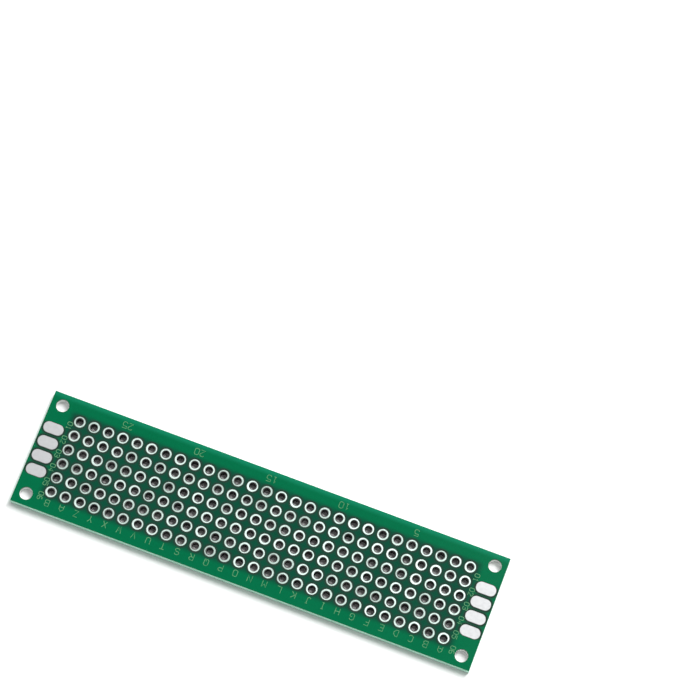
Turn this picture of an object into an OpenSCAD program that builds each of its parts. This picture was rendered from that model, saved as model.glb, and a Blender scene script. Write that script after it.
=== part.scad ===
// Prototype board: a double-sided fibreglass board with a grid of plated through-holes,
// a plain hole in each corner and a column of oblong solder pads at each end, on both faces.
// The origin is at the centre of the underside. +X runs along the board and +Z points up.
// All sizes are in millimetres.

/* [Board] */
// Length of the board
board_length = 80; // [79:0.5:120]
// Width of the board
board_width = 20; // [19:0.5:60]
// Thickness of the bare glass-epoxy laminate
laminate_thickness = 1.5; // [0.8:0.1:3.2]

/* [Corner holes] */
// Diameter of the plain corner holes
corner_hole_diameter = 2.2; // [1.5:0.1:3]
// Distance from a corner hole's centre to the two edges beside it
corner_hole_inset = 2; // [1.7:0.1:2.6]

/* [Hole grid] */
// Distance between the centres of neighbouring plated holes
pitch = 2.54; // [2.3:0.01:2.57]
// Number of plated holes along the board
columns = 28; // [4:1:28]
// Number of plated holes across the board
rows = 6; // [3:1:6]
// Clear diameter of a plated hole
hole_diameter = 1.1; // [0.7:0.05:1.3]
// Thickness of the copper and tin on the wall of a hole
barrel_wall = 0.05; // [0.03:0.005:0.08]
// Outer diameter of the land round a hole
land_diameter = 1.9; // [1.7:0.05:2.1]
// Radius of the rounded mouth where the land turns down into the hole
mouth_radius = 0.1; // [0.06:0.01:0.12]

/* [Copper and tin] */
// Height of every land and pad above the laminate
plating_height = 0.05; // [0.04:0.005:0.1]
// Radius of the rounded outer rim of every land and pad
rim_radius = 0.025; // [0.01:0.005:0.05]

/* [End pads] */
// Length of an end pad, along the board
end_pad_length = 3.4; // [2:0.1:3.6]
// Width of an end pad, across the board
end_pad_width = 1.9; // [1.4:0.05:2.3]
// Radius of an end pad's corners
end_pad_corner = 0.9; // [0.3:0.05:1]
// Distance from an end pad to the end of the board
end_pad_margin = 0.35; // [0.15:0.05:0.5]

/* [Solder mask] */
// Thickness of the solder mask on each face
mask_thickness = 0.03; // [0.01:0.005:0.035]
// Gap between the solder mask and the lands and pads that it leaves open
mask_clearance = 0.08; // [0.04:0.01:0.1]

/* [Hidden] */
// Smoothness of round shapes
$fn = 48;
// The arcs at the mouths and rims are hundredths of a millimetre, so each quarter turn is three flats
small_arc = 12;

// Heights of the laminate's two faces, and of the part's top
laminate_bottom = plating_height;
laminate_top = laminate_bottom + laminate_thickness;
part_top = laminate_top + plating_height;

// The drilled hole is wider than the clear hole by the plating on its wall
drill_diameter = hole_diameter + 2 * barrel_wall;
corner_hole_x = board_length / 2 - corner_hole_inset;
corner_hole_y = board_width / 2 - corner_hole_inset;

// There is an end pad beside every row but the first and the last, which leave room for the corner holes
end_pads = rows - 2;
end_pad_x = (board_length - end_pad_length) / 2 - end_pad_margin;
rim = min(rim_radius, plating_height / 2);

function column_x(column) = (column - (columns + 1) / 2) * pitch;
function row_y(row) = ((rows + 1) / 2 - row) * pitch;
function end_pad_y(number) = ((end_pads + 1) / 2 - number) * pitch;

function two_digits(number) = str(number < 10 ? "0" : "", number);
function column_node(column) = str("plated_holes_", two_digits(column));
function end_pad_node(end, face, number) = str("end_pad_", end, "_", face, "_", number);

ENDS = ["left", "right"];
FACES = ["top", "bottom"];

// Outline of the board, square at its corners
module board_outline() {
    square([board_length, board_width], center = true);
}

// Outline of the opening round one end pad; its corners are arcs
module end_pad_outline(gap) {
    length = end_pad_length + 2 * gap;
    width = end_pad_width + 2 * gap;
    corner = min(end_pad_corner + gap, width / 2);
    square([length - 2 * corner, width], center = true);
    if (width > 2 * corner)
        square([length, width - 2 * corner], center = true);
    for (x = [-1, 1], y = [-1, 1])
        translate([x * (length / 2 - corner), y * (width / 2 - corner)])
            circle(r = corner);
}

module at_plated_holes() {
    for (column = [1 : columns], row = [1 : rows])
        translate([column_x(column), row_y(row)])
            children();
}

module at_corner_holes() {
    for (x = [-1, 1], y = [-1, 1])
        translate([x * corner_hole_x, y * corner_hole_y])
            children();
}

module at_end_pads() {
    for (x = [-1, 1], number = [1 : end_pads])
        translate([x * end_pad_x, end_pad_y(number)])
            children();
}

// Glass-epoxy sheet with every hole drilled through it
module laminate() {
    color([0.78, 0.84, 0.66])
        translate([0, 0, laminate_bottom])
            linear_extrude(laminate_thickness)
                difference() {
                    board_outline();
                    at_plated_holes()
                        circle(d = drill_diameter);
                    at_corner_holes()
                        circle(d = corner_hole_diameter);
                }
}

// Green lacquer that covers one face and leaves the lands and pads open
module solder_mask() {
    color([0.02, 0.45, 0.27])
        linear_extrude(mask_thickness)
            difference() {
                board_outline();
                at_plated_holes()
                    circle(d = land_diameter + 2 * mask_clearance);
                at_corner_holes()
                    circle(d = corner_hole_diameter);
                at_end_pads()
                    end_pad_outline(mask_clearance);
            }
}

module solder_mask_top() {
    translate([0, 0, laminate_top])
        solder_mask();
}

module solder_mask_bottom() {
    translate([0, 0, laminate_bottom - mask_thickness])
        solder_mask();
}

// Section of a plated area that lies on the laminate, from r = 0 to its outer edge.
// The rim is rounded, as molten tin leaves it.
module plated_section(reach) {
    square([reach - rim, plating_height]);
    square([reach, plating_height - rim]);
    translate([reach - rim, plating_height - rim])
        circle(r = rim, $fn = small_arc);
}

// Section of a barrel and its land above the middle of the board, rounded at the mouth
module plated_hole_section(height) {
    inner = hole_diameter / 2;
    difference() {
        union() {
            square([inner + barrel_wall, height]);
            translate([0, height - plating_height])
                plated_section(land_diameter / 2);
        }
        square([inner, height]);
        difference() {
            translate([inner, height - mouth_radius])
                square(mouth_radius);
            translate([inner + mouth_radius, height - mouth_radius])
                circle(r = mouth_radius, $fn = small_arc);
        }
    }
}

// One plated hole: the barrel and its two lands are a single deposit of copper, coated with tin
module plated_hole() {
    half = part_top / 2;
    translate([0, 0, half])
        rotate_extrude() {
            plated_hole_section(half);
            mirror([0, 1])
                plated_hole_section(half);
        }
}

module plated_holes(column) {
    color([0.86, 0.91, 0.89])
        for (row = [1 : rows])
            translate([column_x(column), row_y(row), 0])
                plated_hole();
}

// A straight stretch of an end pad, centred on the origin, with a rounded rim along both sides
module end_pad_bar(length, reach) {
    for (side = [0, 1])
        mirror([0, side, 0])
            translate([-length / 2, 0, 0])
                rotate([90, 0, 90])
                    linear_extrude(length)
                        plated_section(reach);
}

// One end pad: a rounded disc at each corner, joined by straight stretches along and across
module end_pad() {
    corner = min(end_pad_corner, end_pad_width / 2);
    color([0.86, 0.88, 0.88]) {
        end_pad_bar(end_pad_length - 2 * corner, end_pad_width / 2);
        if (end_pad_width > 2 * corner)
            rotate([0, 0, 90])
                end_pad_bar(end_pad_width - 2 * corner, end_pad_length / 2);
        for (x = [-1, 1], y = [-1, 1])
            translate([x * (end_pad_length / 2 - corner), y * (end_pad_width / 2 - corner), 0])
                rotate_extrude()
                    plated_section(corner);
    }
}

module end_pad_at(end, face, number) {
    x = (end == "left" ? -1 : 1) * end_pad_x;
    z = face == "top" ? laminate_top : laminate_bottom;
    translate([x, end_pad_y(number), z])
        mirror([0, 0, face == "top" ? 0 : 1])
            end_pad();
}

laminate();
solder_mask_top();
solder_mask_bottom();
for (column = [1 : columns])
    plated_holes(column);
for (end = ENDS, face = FACES, number = [1 : end_pads])
    end_pad_at(end, face, number);
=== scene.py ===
# %% [markdown]
# Dressing a prototype board
#
# A prototype board is a bare circuit board for soldering a circuit by hand: a sheet of glass and
# epoxy with a grid of tinned holes. Its solids come from a CAD model, which already holds the drilled
# sheet, the lacquer on both faces, every plated hole and every pad at its real size. This notebook adds
# what the solids can't say: how each surface looks, the printed legend, the light and the camera.

# %% Load the solids
import math

import bpy
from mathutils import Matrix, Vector


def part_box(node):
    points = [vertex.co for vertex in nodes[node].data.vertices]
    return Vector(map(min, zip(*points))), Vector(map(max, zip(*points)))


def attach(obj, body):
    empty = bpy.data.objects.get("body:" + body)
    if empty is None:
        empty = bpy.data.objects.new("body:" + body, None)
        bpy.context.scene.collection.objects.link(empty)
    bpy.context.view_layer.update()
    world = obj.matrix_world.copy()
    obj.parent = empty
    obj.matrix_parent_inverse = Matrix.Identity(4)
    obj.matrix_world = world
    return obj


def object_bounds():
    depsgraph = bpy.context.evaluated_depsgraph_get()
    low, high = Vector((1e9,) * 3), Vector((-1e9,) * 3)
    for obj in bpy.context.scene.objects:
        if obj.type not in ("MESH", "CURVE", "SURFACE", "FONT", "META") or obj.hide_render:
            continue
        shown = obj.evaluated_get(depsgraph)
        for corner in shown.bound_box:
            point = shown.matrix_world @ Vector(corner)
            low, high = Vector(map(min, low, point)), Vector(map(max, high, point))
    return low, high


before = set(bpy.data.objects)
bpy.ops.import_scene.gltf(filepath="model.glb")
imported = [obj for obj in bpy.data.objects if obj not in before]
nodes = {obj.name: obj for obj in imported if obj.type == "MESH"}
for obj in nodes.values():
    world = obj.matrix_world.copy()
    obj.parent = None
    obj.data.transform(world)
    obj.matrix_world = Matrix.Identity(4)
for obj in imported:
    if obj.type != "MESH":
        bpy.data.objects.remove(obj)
cad_low, cad_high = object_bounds()
MM = 0.001
print("solids:", len(nodes), "box in mm:", [round(side / MM, 3) for side in cad_high - cad_low])

# %% [markdown]
# Sizes come from the solids
#
# Everything below has to line up with the holes, so the grid is read from the solids instead of being
# typed in again. The board is symmetrical, so the pitch is the distance between two neighbouring columns
# of plated holes, and the number of rows follows from how far one column reaches.


# %% Read the grid
def middle(name):
    low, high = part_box(name)
    return (low + high) / 2


columns = sorted(name for name in nodes if name.startswith("plated_holes_"))
pitch = middle(columns[1]).x - middle(columns[0]).x
column_low, column_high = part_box(columns[0])
land_radius = (column_high.x - column_low.x) / 2
rows = round((column_high.y - column_low.y - 2 * land_radius) / pitch) + 1
mask_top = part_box("solder_mask_top")[1].z
laminate_low, laminate_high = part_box("laminate")
print(len(columns), "columns and", rows, "rows,", round(pitch / MM, 3), "mm apart; lands",
      round(2 * land_radius / MM, 3), "mm across")

# %% [markdown]
# The camera
#
# The picture was taken from almost straight above, with a long lens, so the board keeps nearly parallel
# edges. A camera can be placed by eye, but here its place was worked out from the holes: they form a
# regular grid of known pitch, and only one camera sees that grid with the spacing that the picture has.
# The lens follows from the same sum: a focal length in pixels, times the sensor's width, over the
# picture's width.

# %% Camera
PICTURE_WIDTH = 700
FOCAL_PIXELS = 3499
SENSOR_WIDTH = 36
camera_place = Vector((50.80, -131.72, 555.42)) * MM + Vector((0, 0, cad_high.z))
camera_turn = [math.radians(angle) for angle in (17.2, -1.39, 20.6)]

bpy.ops.object.camera_add(location=camera_place, rotation=camera_turn)
camera = bpy.context.object
camera.data.sensor_width = SENSOR_WIDTH
camera.data.lens = FOCAL_PIXELS * SENSOR_WIDTH / PICTURE_WIDTH
camera.data.clip_start = 0.01
bpy.context.scene.camera = camera
print("lens", round(camera.data.lens, 1), "mm, camera", round(camera_place.length, 3), "m from the board")

# %% [markdown]
# Shader maths in plain signs
#
# A material in Blender is a graph of nodes. Wiring sums by hand takes a dozen lines for a simple formula,
# so this small class wraps a socket and lets Python's own signs add the Math nodes. Every other kind of
# node comes from one method, which takes the node's type, its settings and what goes into its sockets.
# Most patterns below are a soft step or a blend of two colours, so those two have a name of their own.


# %% A socket with signs
class Wire:
    """An output socket of a material, with Python's signs for sums on it."""

    def __init__(self, tree, socket):
        self.tree = tree
        self.socket = socket

    def node(self, kind, settings=None, inputs=None, output=0):
        made = self.tree.nodes.new(kind)
        for name, value in (settings or {}).items():
            setattr(made, name, value)
        for name, value in (inputs or {}).items():
            if isinstance(value, Wire):
                self.tree.links.new(value.socket, made.inputs[name])
            else:
                made.inputs[name].default_value = value
        return Wire(self.tree, made.outputs[output])

    def maths(self, operation, *values):
        return self.node("ShaderNodeMath", {"operation": operation}, dict(enumerate(values)))

    def __add__(self, other):
        return self.maths("ADD", self, other)

    def __radd__(self, other):
        return self.maths("ADD", other, self)

    def __sub__(self, other):
        return self.maths("SUBTRACT", self, other)

    def __rsub__(self, other):
        return self.maths("SUBTRACT", other, self)

    def __mul__(self, other):
        return self.maths("MULTIPLY", self, other)

    def __rmul__(self, other):
        return self.maths("MULTIPLY", other, self)

    def __truediv__(self, other):
        return self.maths("DIVIDE", self, other)


# %% Steps and blends
def smooth(value, start, end):
    """0 before start, 1 after end, and a smooth rise between them."""
    inputs = {"Value": value, "From Min": start, "From Max": end}
    return value.node("ShaderNodeMapRange", {"interpolation_type": "SMOOTHSTEP"}, inputs)


def blend(share, first, second):
    """A colour between two colours, by a share from 0 to 1."""
    inputs = {"Factor": share, "A": first, "B": second}
    return share.node("ShaderNodeMix", {"data_type": "RGBA"}, inputs, output="Result")


# %% [markdown]
# Starting a material
#
# Each finish below starts the same way: a new material, its Principled shader, and the place on the board
# in millimetres. The place is the object's own coordinate, which needs no unwrapping and stays put when
# the board moves. Working in millimetres keeps the numbers in the formulas readable.


# %% Material helpers
def start_material(name):
    material = bpy.data.materials.new(name)
    material.use_nodes = True
    tree = material.node_tree
    shader = tree.nodes["Principled BSDF"]
    coordinates = tree.nodes.new("ShaderNodeTexCoord")
    place = Wire(tree, coordinates.outputs["Object"])
    place = place.node("ShaderNodeVectorMath", {"operation": "SCALE"}, {0: place, "Scale": 1 / MM})
    return material, shader, place


def axes(place):
    """The x, y and z of a place."""
    split = place.tree.nodes.new("ShaderNodeSeparateXYZ")
    place.tree.links.new(place.socket, split.inputs[0])
    return [Wire(place.tree, socket) for socket in split.outputs]


def noise(place, size, detail=2.0, roughness=0.5):
    """Soft noise from 0 to 1, with spots of about a size in millimetres."""
    inputs = {"Vector": place, "Scale": 1 / size, "Detail": detail, "Roughness": roughness}
    return place.node("ShaderNodeTexNoise", {}, inputs)


def bump(height, depth, strength=1.0):
    """A normal from a height of 0 to 1 that stands for a depth in millimetres."""
    inputs = {"Height": height, "Distance": depth * MM, "Strength": strength}
    return height.node("ShaderNodeBump", {}, inputs)


def feed(shader, **sockets):
    """Gives the shader's sockets their values and links."""
    for name, value in sockets.items():
        socket = shader.inputs[name.replace("_", " ")]
        if isinstance(value, Wire):
            value.tree.links.new(value.socket, socket)
        else:
            socket.default_value = value


def paint(names, material):
    for name in names:
        slots = nodes[name].data.materials
        slots.clear()
        slots.append(material)


# %% [markdown]
# Where a point lies in the grid
#
# Two finishes need to know how far a point is from the centre of the nearest hole. The grid repeats, so
# the remainder of x and y over the pitch gives the place inside one cell, and the length of that gives the
# distance. No list of holes is needed. The end pads repeat with the same pitch, and a pad is a line with a
# width, so its distance is measured from the line down its middle.


# %% Distance to the nearest hole
def grid_distance(x, y):
    """Distance from the centre of the nearest hole, in millimetres."""
    step = pitch / MM
    across = x.maths("FRACT", x / step + len(columns) / 2) * step - step / 2
    along = y.maths("FRACT", y / step + rows / 2) * step - step / 2
    return x.maths("SQRT", across * across + along * along)


def pad_distance(x, y):
    """Distance from the rim of the nearest end pad, on a board with pads beside its inner rows."""
    step = pitch / MM
    low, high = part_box("end_pad_right_top_1")
    centre, length, width = (low.x + high.x) / 2 / MM, (high.x - low.x) / MM, (high.y - low.y) / MM
    across = (x.maths("ABSOLUTE", x) - centre).maths("ABSOLUTE", x.maths("ABSOLUTE", x) - centre)
    across = across.maths("MAXIMUM", across - (length - width) / 2, 0.0)
    along = y.maths("FRACT", y / step + rows / 2) * step - step / 2
    beyond = y.maths("ABSOLUTE", y) - (rows / 2 - 1) * step
    along = along.maths("MAXIMUM", along.maths("ABSOLUTE", along), beyond + step / 2)
    return x.maths("SQRT", across * across + along * along) - width / 2


def inside(x, y, half_x, half_y, edge):
    """1 inside a rectangle round the origin and 0 outside it, with a soft edge."""
    across = smooth(x.maths("ABSOLUTE", x), half_x + edge, half_x - edge)
    along = smooth(y.maths("ABSOLUTE", y), half_y + edge, half_y - edge)
    return across * along


# %% [markdown]
# Solder mask
#
# The green is a thin glossy lacquer over the glass cloth. Over the plain margin it looks clear and bright.
# Between the lands and the pads it gets a painted shade, for the light that is lost among the metal, and
# the weave of the cloth below just shows through. The weave is two crossed sine waves; an image of cloth
# would do the same, but the formula has no seam and no resolution. Along the far edge, where the light
# comes in, a painted glow brightens the green.

# %% Where the lacquer gets painted shade or a painted glow
MARGIN_GREEN = (0.0, 0.141, 0.055, 1)
# Painted glow: a lighter green along the far edge, where the light comes in.
FAR_EDGE_PAINTED_GLOW_GREEN = (0.005, 0.204, 0.100, 1)
# Painted shade: the darker green over the field of holes stands for light lost among the metal.
FIELD_PAINTED_SHADE_GREEN = (0.003, 0.063, 0.034, 1)
# Painted shade: the darkest green, right beside the lands and pads.
NEAR_METAL_PAINTED_SHADE_GREEN = (0.016, 0.037, 0.028, 1)
FIELD_OVERHANG = 0.45
FIELD_FADE = 0.6
SHADE_BY_LAND = 0.6
SHADE_BY_PAD = 0.65
PAD_SHADE_INSET = 0.1
PAD_SHADE_FADE = 0.8
GLOW_WIDTH = 1.1
FULL_GLOW_WIDTH = 0.2

mask_material, mask_shader, place = start_material("solder_mask")
x, y = axes(place)[:2]
grid_half_x = len(columns) / 2 * pitch / MM
grid_half_y = rows / 2 * pitch / MM
pads_half_y = (rows / 2 - 1) * pitch / MM - PAD_SHADE_INSET
board_edge_y = laminate_high.y / MM
land_edge = land_radius / MM
# This marks the field of holes, which gets the painted shade and the weave.
in_shaded_field = inside(x, y, grid_half_x + FIELD_OVERHANG, grid_half_y, FIELD_FADE)
in_grid = inside(x, y, grid_half_x, grid_half_y, 0.1)
# Painted shade next to the lands and the pads, darkest at the metal.
shade_near_land = smooth(grid_distance(x, y), land_edge + SHADE_BY_LAND, land_edge) * in_grid
among_pads = smooth(y.maths("ABSOLUTE", y), pads_half_y, pads_half_y - PAD_SHADE_FADE)
shade_near_pad = smooth(pad_distance(x, y), SHADE_BY_PAD, 0.1) * among_pads
painted_shade_near_metal = shade_near_land.maths("MAXIMUM", shade_near_land, shade_near_pad)
# Painted glow along the far edge, where the light comes in.
painted_far_edge_glow = smooth(y, board_edge_y - GLOW_WIDTH, board_edge_y - FULL_GLOW_WIDTH)

green = blend(painted_far_edge_glow, MARGIN_GREEN, FAR_EDGE_PAINTED_GLOW_GREEN)
green = blend(in_shaded_field, green, FIELD_PAINTED_SHADE_GREEN)
green = blend(painted_shade_near_metal, green, NEAR_METAL_PAINTED_SHADE_GREEN)
print("dark field", round(2 * grid_half_x, 2), "by", round(2 * grid_half_y, 2), "mm")

# %% Weave and finish of the lacquer
THREAD_PITCH = 0.46
WANDER_SIZE = 3.0
SPECKLE_SIZE = 0.25
CLOUD_SIZE = 9.0
PLAIN_TONE = 0.74
THREAD_TONE = 0.22
SPECKLE_TONE = 0.28
CLOUD_TONE = 0.10

turns = 2 * math.pi / THREAD_PITCH
wander = noise(place, WANDER_SIZE) * 2.0
threads = x.maths("SINE", x * turns + wander) * x.maths("SINE", y * turns + wander) * 0.5 + 0.5
speckle = noise(place, SPECKLE_SIZE, detail=3.0, roughness=0.6)
cloud = noise(place, CLOUD_SIZE)
tone = PLAIN_TONE + threads * in_shaded_field * THREAD_TONE + speckle * SPECKLE_TONE + cloud * CLOUD_TONE
green = green.node("ShaderNodeVectorMath", {"operation": "SCALE"}, {0: green, "Scale": tone})
feed(
    mask_shader,
    Base_Color=green,
    Roughness=0.07 + cloud * 0.05,
    Normal=bump(threads * 0.6 + speckle * 0.4, 0.004, 0.5),
    Specular_IOR_Level=0.18,
)
paint(["solder_mask_top", "solder_mask_bottom"], mask_material)
print("solder mask: threads every", THREAD_PITCH, "mm")

# %% [markdown]
# Laminate
#
# The bare sheet shows at the cut edges, on the walls of the corner holes and as a hair-thin ring round
# every land. It is layers of glass cloth in pale yellow-green epoxy, so the edge is streaked along its
# length. Stretching a noise along the board and squeezing it in height makes those layers. Light leaves
# through the cut edge, which looks pale. A drilled wall is paler still, because the drill leaves torn glass
# that scatters light, but its upper rim in each corner hole gets a painted shade, a dark green band. The
# faces get a painted shade as well, so the hair-thin rings of them between lacquer and metal look dark.

# %% Layers in the cut edge
EPOXY = (0.27, 0.66, 0.44, 1)
GLASS = (0.70, 0.98, 0.86, 1)
LAYER_HEIGHT = 0.19
STREAK_STRETCH = (0.25, 0.25, 6.0)

laminate_material, laminate_shader, place = start_material("laminate")
x, y, z = axes(place)
stretched = place.node("ShaderNodeVectorMath", {"operation": "MULTIPLY"}, {0: place, 1: STREAK_STRETCH})
streaks = noise(stretched, 0.5, detail=3.0, roughness=0.6)
layers = x.maths("SINE", z * (2 * math.pi / LAYER_HEIGHT) + streaks * 3.0) * 0.5 + 0.5
glass_share = smooth(layers * 0.5 + streaks * 0.5, 0.25, 0.75)
cut_edge = blend(glass_share, EPOXY, GLASS)
print("laminate: a layer every", LAYER_HEIGHT, "mm")

# %% Walls of the corner holes
DRILLED = (0.93, 0.95, 0.93, 1)
# Painted shade: a dark green band down the upper rim of the corner-hole walls.
CORNER_RIM_PAINTED_SHADE = (0.02, 0.09, 0.05, 1)
CORNER_SHADE_DEPTH = 0.60
FULL_CORNER_SHADE_DEPTH = 0.25
CORNER_SHADE_UNEVENNESS = 0.3
CORNER_HOLE_INSET = 2.0
CORNER_HOLE_RADIUS = 1.1

upper_face = laminate_high.z / MM
corner_x = x.maths("ABSOLUTE", x) - (laminate_high.x / MM - CORNER_HOLE_INSET)
corner_y = y.maths("ABSOLUTE", y) - (laminate_high.y / MM - CORNER_HOLE_INSET)
corner_distance = x.maths("SQRT", corner_x * corner_x + corner_y * corner_y)
drilled = smooth(corner_distance, CORNER_HOLE_RADIUS + 0.3, CORNER_HOLE_RADIUS + 0.1)
uneven_z = z + (streaks - 0.5) * CORNER_SHADE_UNEVENNESS
# The painted shade on the upper rim of each corner-hole wall, with a wavering lower edge.
run = smooth(uneven_z, upper_face - CORNER_SHADE_DEPTH, upper_face - FULL_CORNER_SHADE_DEPTH)
sheet = blend(drilled, cut_edge, blend(run, DRILLED, CORNER_RIM_PAINTED_SHADE))
# The depth printed here is how far the painted shade reaches down the corner holes.
print("lacquer runs", CORNER_SHADE_DEPTH, "mm down the corner holes")

# %% Laminate finish
# Painted shade: the laminate's faces, seen only as hair-thin rings between lacquer and metal, are dark.
FACE_PAINTED_SHADE = (0.020, 0.050, 0.028, 1)

sheet_middle = (laminate_low.z + laminate_high.z) / 2 / MM
half_sheet = upper_face - sheet_middle
# This marks the faces, which get the painted shade.
on_shaded_face = smooth(z.maths("ABSOLUTE", z - sheet_middle), half_sheet - 0.02, half_sheet - 0.005)
grain = noise(place, 0.12, detail=3.0, roughness=0.6)
feed(
    laminate_shader,
    Base_Color=blend(on_shaded_face, sheet, FACE_PAINTED_SHADE),
    Roughness=0.75 - glass_share * 0.15,
    Normal=bump(glass_share * 0.6 + grain * 0.4, 0.02, 0.6),
    Specular_IOR_Level=0.4,
)
paint(["laminate"], laminate_material)
print("laminate:", round(2 * half_sheet, 3), "mm thick")

# %% [markdown]
# Tinned copper
#
# The lands, the walls of the holes and the end pads are copper that was dipped in molten tin and blown
# level with hot air. The tin freezes bright but not quite flat, so its reflection is soft and a little
# uneven, and no two lands are the same. Where a land turns down at its rim it gets a painted shade; down
# its hole it gets a painted shade, deeper in some holes than in others, and round its mouth a painted
# reflection of the dark hole. The drill never hits the middle of a land quite, so the painted dark mouth
# is shifted a little, by a chance that is drawn for each cell of the grid. Both finishes start from one
# function, because the pads are the same metal with a wider, calmer surface.

# %% Chances of each hole
RIPPLE_SIZE = 0.55
GRAIN_SIZE = 0.09
DRILL_WANDER = 0.14


def start_tin(name):
    material, shader, place = start_material(name)
    ripple = noise(place, RIPPLE_SIZE)
    grain = noise(place, GRAIN_SIZE, detail=3.0, roughness=0.6)
    return material, shader, place, ripple, grain


hole_material, hole_shader, place, ripple, grain = start_tin("tinned_hole")
x, y = axes(place)[:2]
per_cell = (MM / pitch, MM / pitch, 0)
cell = place.node("ShaderNodeVectorMath", {"operation": "MULTIPLY"}, {0: place, 1: per_cell})
cell = cell.node("ShaderNodeVectorMath", {"operation": "FLOOR"}, {0: cell})
luck = cell.node("ShaderNodeTexWhiteNoise", {"noise_dimensions": "3D"}, {"Vector": cell})
chances = cell.node(
    "ShaderNodeTexWhiteNoise", {"noise_dimensions": "3D"}, {"Vector": cell}, output="Color"
)
# The third chance sets, for each cell, how deep the painted shade down its hole is.
drift_x, drift_y, wall_shade_chance = axes(chances)
wandered = grid_distance(x + (drift_x - 0.5) * DRILL_WANDER, y + (drift_y - 0.5) * DRILL_WANDER)
print("the drill wanders by up to", DRILL_WANDER / 2, "mm")

# %% Tin of the lands and holes
LAND_TIN = (0.50, 0.60, 0.56, 1)
LAND_TIN_DULL = (0.35, 0.44, 0.40, 1)
# Painted shade where a land turns down at its rim.
RIM_TIN_PAINTED_SHADE = (0.175, 0.25, 0.22, 1)
# Painted shade down the plated holes, at two depths.
WALL_TIN_PAINTED_SHADE = (0.14, 0.14, 0.135, 1)
WALL_TIN_DEEP_PAINTED_SHADE = (0.05, 0.05, 0.05, 1)
HOLE_RADIUS = 0.55
MOUTH_WIDTH = 0.20
DARK_MOUTH_WIDTH = 0.08
RIM_WIDTH = 0.08
DARK_RIM_WIDTH = 0.02

# Painted shade down the hole and painted reflection of the dark hole round its mouth.
painted_hole_and_mouth_shade = smooth(wandered, HOLE_RADIUS + MOUTH_WIDTH, HOLE_RADIUS + DARK_MOUTH_WIDTH)
# Painted shade at the rim of each land.
painted_rim_shade = smooth(grid_distance(x, y), land_edge - RIM_WIDTH, land_edge - DARK_RIM_WIDTH)
painted_wall_shade = blend(wall_shade_chance, WALL_TIN_DEEP_PAINTED_SHADE, WALL_TIN_PAINTED_SHADE)
dull = smooth(ripple * 0.7 + luck * 0.5, 0.45, 0.85)
tin = blend(painted_rim_shade, blend(dull, LAND_TIN, LAND_TIN_DULL), RIM_TIN_PAINTED_SHADE)
feed(
    hole_shader,
    Base_Color=blend(painted_hole_and_mouth_shade, tin, painted_wall_shade),
    Metallic=0.85,
    Roughness=0.46 + dull * 0.10 + painted_hole_and_mouth_shade * 0.10,
    Normal=bump(ripple * 0.8 + grain * 0.2, 0.02, 0.6),
)
paint(columns, hole_material)
print("tin on", len(columns), "columns of holes")

# %% Tin of the end pads
PAD_TIN = (0.425, 0.43, 0.436, 1)
PAD_TIN_DULL = (0.405, 0.41, 0.418, 1)

pad_material, pad_shader, place, ripple, grain = start_tin("tinned_pad")
dull = smooth(ripple, 0.35, 0.75)
feed(
    pad_shader,
    Base_Color=blend(dull, PAD_TIN, PAD_TIN_DULL),
    Metallic=0.85,
    Roughness=0.52 + dull * 0.03,
    Normal=bump(ripple * 0.8 + grain * 0.2, 0.008, 0.5),
)
pads = sorted(name for name in nodes if name.startswith("end_pad_"))
paint(pads, pad_material)
print("tin on", len(pads), "pads")

# %% [markdown]
# Legend ink
#
# The legend is epoxy ink pushed through a screen, so it stands about two hundredths of a millimetre proud
# of the mask. It is pale yellow-green and slightly see-through, and thin spots let the green come up. A
# see-through material would render slowly for so little, so a noise blends the ink's two greens instead.

# %% Ink material
INK = (0.110, 0.330, 0.148, 1)
INK_THIN = (0.047, 0.21, 0.09, 1)

ink_material, ink_shader, place = start_material("legend_ink")
thin = smooth(noise(place, 0.3, detail=3.0, roughness=0.6), 0.45, 0.70)
feed(
    ink_shader,
    Base_Color=blend(thin, INK, INK_THIN),
    Roughness=0.55 + thin * 0.1,
    Normal=bump(noise(place, 0.06), 0.01, 0.4),
    Specular_IOR_Level=0.3,
)
print("ink:", ink_material.name)

# %% [markdown]
# A stroke alphabet
#
# Printed legends use a plotter's alphabet: every sign is a few straight strokes of one width. Each sign
# here is drawn on a grid of 4 by 6 squares. A stroke is a run of points, and a point is two digits, how
# far right and how far up. Strokes are parted by a slash. The signs only number the rows and columns,
# as the squares of a chessboard are numbered, and no number on the board has a digit above 6.

# %% Signs
SIGNS = {
    "A": "00 04 26 44 40/02 42",
    "B": "00 06 36 45 44 33 42 41 30 00/03 33",
    "C": "45 36 16 05 01 10 30 41",
    "D": "00 06 26 44 42 20 00",
    "E": "46 06 00 40/03 33",
    "F": "46 06 00/03 33",
    "G": "45 36 16 05 01 10 30 41 43 23",
    "H": "00 06/40 46/03 43",
    "I": "10 30/20 26/16 36",
    "J": "26 46/36 31 20 10 01",
    "K": "00 06/46 02/13 40",
    "L": "06 00 40",
    "M": "00 06 23 46 40",
    "N": "00 06 40 46",
    "O": "10 01 05 16 36 45 41 30 10",
    "P": "00 06 36 45 44 33 03",
    "Q": "10 01 05 16 36 45 41 30 10/22 40",
    "R": "00 06 36 45 44 33 03/23 40",
    "S": "45 36 16 05 04 13 33 42 41 30 10 01",
    "T": "06 46/26 20",
    "U": "06 01 10 30 41 46",
    "V": "06 20 46",
    "W": "06 10 24 30 46",
    "X": "00 46/06 40",
    "Y": "06 23 46/23 20",
    "Z": "06 46 00 40",
    "0": "10 01 05 16 36 45 41 30 10",
    "1": "14 26 20/10 30",
    "2": "05 16 36 45 44 00 40",
    "3": "05 16 36 45 44 33 42 41 30 10 01/13 33",
    "4": "30 36 02 42",
    "5": "46 06 04 34 43 41 30 10 01",
    "6": "36 16 05 01 10 30 41 42 33 03",
}
SIGN_WIDTH, SIGN_HEIGHT = 4, 6


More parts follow.
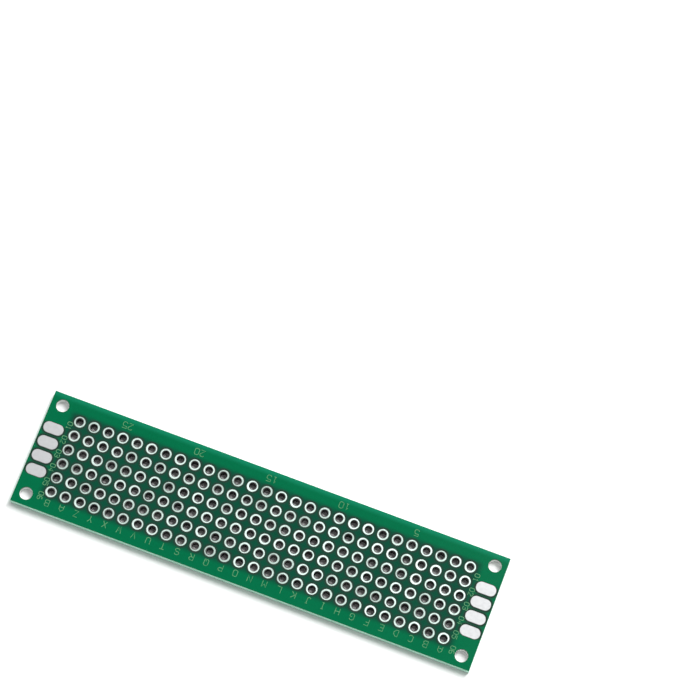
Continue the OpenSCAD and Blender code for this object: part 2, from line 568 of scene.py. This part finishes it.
def strokes(sign):
    """The strokes of a sign, each a list of points on its grid."""
    runs = [run.split() for run in SIGNS[sign].split("/")]
    return [[(int(right), int(high)) for right, high in run] for run in runs]


print(len(SIGNS), "signs")

# %% [markdown]
# Printing a word
#
# A word is laid out along a reading direction and centred on its place. Its strokes become the lines of a
# curve object with a round bevel, which is then turned into a mesh and flattened to a bead of ink that lies
# on the mask. A text object would be quicker, but its letters are filled outlines, and not strokes of one
# width.


# %% Lay out a word
def lay_out(word, centre, reading, up, height, gap=1.5):
    """The strokes of a word as lists of points on the board's face."""
    unit = height / SIGN_HEIGHT
    step = SIGN_WIDTH + gap
    length = len(word) * step - gap
    lines = []
    for number, sign in enumerate(word):
        for run in strokes(sign):
            lines.append([
                centre + reading * (number * step + right - length / 2) * unit
                + up * (high - SIGN_HEIGHT / 2) * unit
                for right, high in run
            ])
    return lines


# %% Print the ink
INK_WIDTH = 0.12 * MM
INK_HEIGHT = 0.018 * MM


def print_legend(name, lines):
    """One piece of ink from lists of points."""
    curve = bpy.data.curves.new(name, "CURVE")
    curve.dimensions = "3D"
    curve.bevel_depth = INK_WIDTH / 2
    curve.bevel_resolution = 1
    curve.use_fill_caps = True
    for points in lines:
        closed = points[0] == points[-1]
        points = points[:-1] if closed else points
        spline = curve.splines.new("POLY")
        spline.points.add(len(points) - 1)
        spline.use_cyclic_u = closed
        for point, place in zip(spline.points, points):
            point.co = (place.x, place.y, 0, 1)
    piece = bpy.data.objects.new(name, curve)
    bpy.context.collection.objects.link(piece)
    bpy.ops.object.select_all(action="DESELECT")
    piece.select_set(True)
    bpy.context.view_layer.objects.active = piece
    bpy.ops.object.convert(target="MESH")
    piece = bpy.context.object
    piece.scale.z = INK_HEIGHT / (INK_WIDTH / 2)
    piece.location.z = mask_top
    bpy.ops.object.transform_apply(location=True, rotation=True, scale=True)
    bpy.ops.object.shade_smooth()
    piece.data.materials.append(ink_material)
    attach(piece, "root")
    print(name, len(lines), "strokes,", len(piece.data.polygons), "faces")


# %% [markdown]
# The legend itself
#
# Columns carry letters from A at one end, and after Z the alphabet starts again. Rows carry two-digit
# numbers at both ends, read at a right angle to the letters. The long margin opposite the letters carries
# plain counts, every fifth column, so that a long row can be found without spelling out the alphabet.

# %% Print the letters
DOWN = Vector((0, -1, 0))
LEFT = Vector((-1, 0, 0))
LETTER_HEIGHT = 1.06 * MM
LETTER_LINE = 8.33 * MM
LETTER_SHIFT = 0.1 * MM

letters = [sign for sign in SIGNS if sign.isalpha()]
places = [middle(name).x for name in reversed(columns)]
lines = []
for number, x in enumerate(places):
    centre = Vector((x + LETTER_SHIFT, -LETTER_LINE, 0))
    lines += lay_out(letters[number % len(letters)], centre, LEFT, DOWN, LETTER_HEIGHT)
print_legend("legend_columns", lines)

# %% Print the row numbers
RIGHT = Vector((1, 0, 0))
NUMBER_HEIGHT = 0.82 * MM
NUMBER_LINES = {"left": -35.66 * MM, "right": 35.87 * MM}
NUMBER_DROPS = {"left": 1.18 * MM, "right": 1.33 * MM}
LAST_NUMBER_SHIFT = 0.42 * MM

for end, number_x in NUMBER_LINES.items():
    lines = []
    for row in range(rows):
        y = (rows / 2 - 0.5 - row) * pitch - NUMBER_DROPS[end]
        shift = LAST_NUMBER_SHIFT if (end == "right" and row == rows - 1) else 0
        centre = Vector((number_x + shift, y, 0))
        lines += lay_out(f"{row + 1:02d}", centre, DOWN, RIGHT, NUMBER_HEIGHT)
    print_legend("legend_rows_" + end, lines)

# %% Print the column counts
COUNT_LINE = 8.6 * MM
COUNT_EVERY = 5

lines = []
for number, x in enumerate(places, start=1):
    if number % COUNT_EVERY == 0:
        lines += lay_out(str(number), Vector((x, COUNT_LINE, 0)), LEFT, DOWN, LETTER_HEIGHT)
print_legend("legend_counts", lines)

# %% [markdown]
# Floor and light
#
# The board lies on a plain pale floor, as on a sheet of paper. A light tent stands round it: white walls,
# brighter high up on the far side, and a darker patch overhead in the direction that the lacquer mirrors
# to the camera. So the lacquer stays deep green, while the tin, which scatters its reflection, gathers
# light from all round and stays bright. One long strip lamp leans from almost overhead down to the far
# side. Its top end shines down the corner holes on to the floor, its low end is too slanted to reach the
# floor through the narrow plated holes, and together they lay a soft shadow along the near edge.

# %% Floor
FLOOR_SIZE = 3.0
FLOOR_WHITE = (0.94, 0.94, 0.94, 1)

bpy.ops.mesh.primitive_plane_add(size=FLOOR_SIZE, location=(0, 0, cad_low.z))
floor = bpy.context.object
floor.name = "floor"
floor_material, floor_shader = start_material("paper")[:2]
feed(floor_shader, Base_Color=FLOOR_WHITE, Roughness=0.9, Specular_IOR_Level=0.1)
floor.data.materials.append(floor_material)
print("floor", FLOOR_SIZE, "m square")

# %% Light tent
NEAR_LIGHT = 0.38
FAR_LIGHT = 1.60
HORIZON_LIGHT = 0.75
MIRRORED_LIGHT = 0.16
MIRRORED = Vector((-0.09, 0.23, 0.97))
PATCH_RIM = math.cos(math.radians(18))
PATCH_CORE = math.cos(math.radians(10))

world = bpy.data.worlds.new("light_tent")
bpy.context.scene.world = world
world.use_nodes = True
tree = world.node_tree
background = tree.nodes["Background"]
direction = Wire(tree, tree.nodes.new("ShaderNodeTexCoord").outputs["Generated"])
away, height = axes(direction)[1:]
far_wall = smooth(height, 0.1, 0.5) * (FAR_LIGHT - HORIZON_LIGHT) + HORIZON_LIGHT
wall = NEAR_LIGHT + smooth(away, 0.0, 0.7) * (far_wall - NEAR_LIGHT)
aligned = direction.node(
    "ShaderNodeVectorMath", {"operation": "DOT_PRODUCT"}, {0: direction, 1: MIRRORED}, output="Value"
)
mirrored = smooth(aligned, PATCH_RIM, PATCH_CORE)
light = wall - mirrored * (wall - MIRRORED_LIGHT)
tree.links.new(light.socket, background.inputs["Strength"])
background.inputs["Color"].default_value = (1, 1, 1, 1)
print("tent light from", MIRRORED_LIGHT, "in the patch to", FAR_LIGHT, "on the far side")

# %% Lamp
LAMP_WIDTH = 0.12
LAMP_LENGTH = 0.42
LAMP_POWER = 5.8

lamp_place = Vector((0.20, 0.38, 0.77))
bpy.ops.object.light_add(type="AREA", location=lamp_place)
lamp = bpy.context.object
lamp.data.shape = "RECTANGLE"
lamp.data.size = LAMP_WIDTH
lamp.data.size_y = LAMP_LENGTH
lamp.data.energy = LAMP_POWER
lamp.rotation_euler = (-lamp_place).to_track_quat("-Z", "Y").to_euler()

bpy.context.scene.view_settings.view_transform = "Standard"
print("lamp", LAMP_POWER, "W at", [round(side, 2) for side in lamp_place], "m")
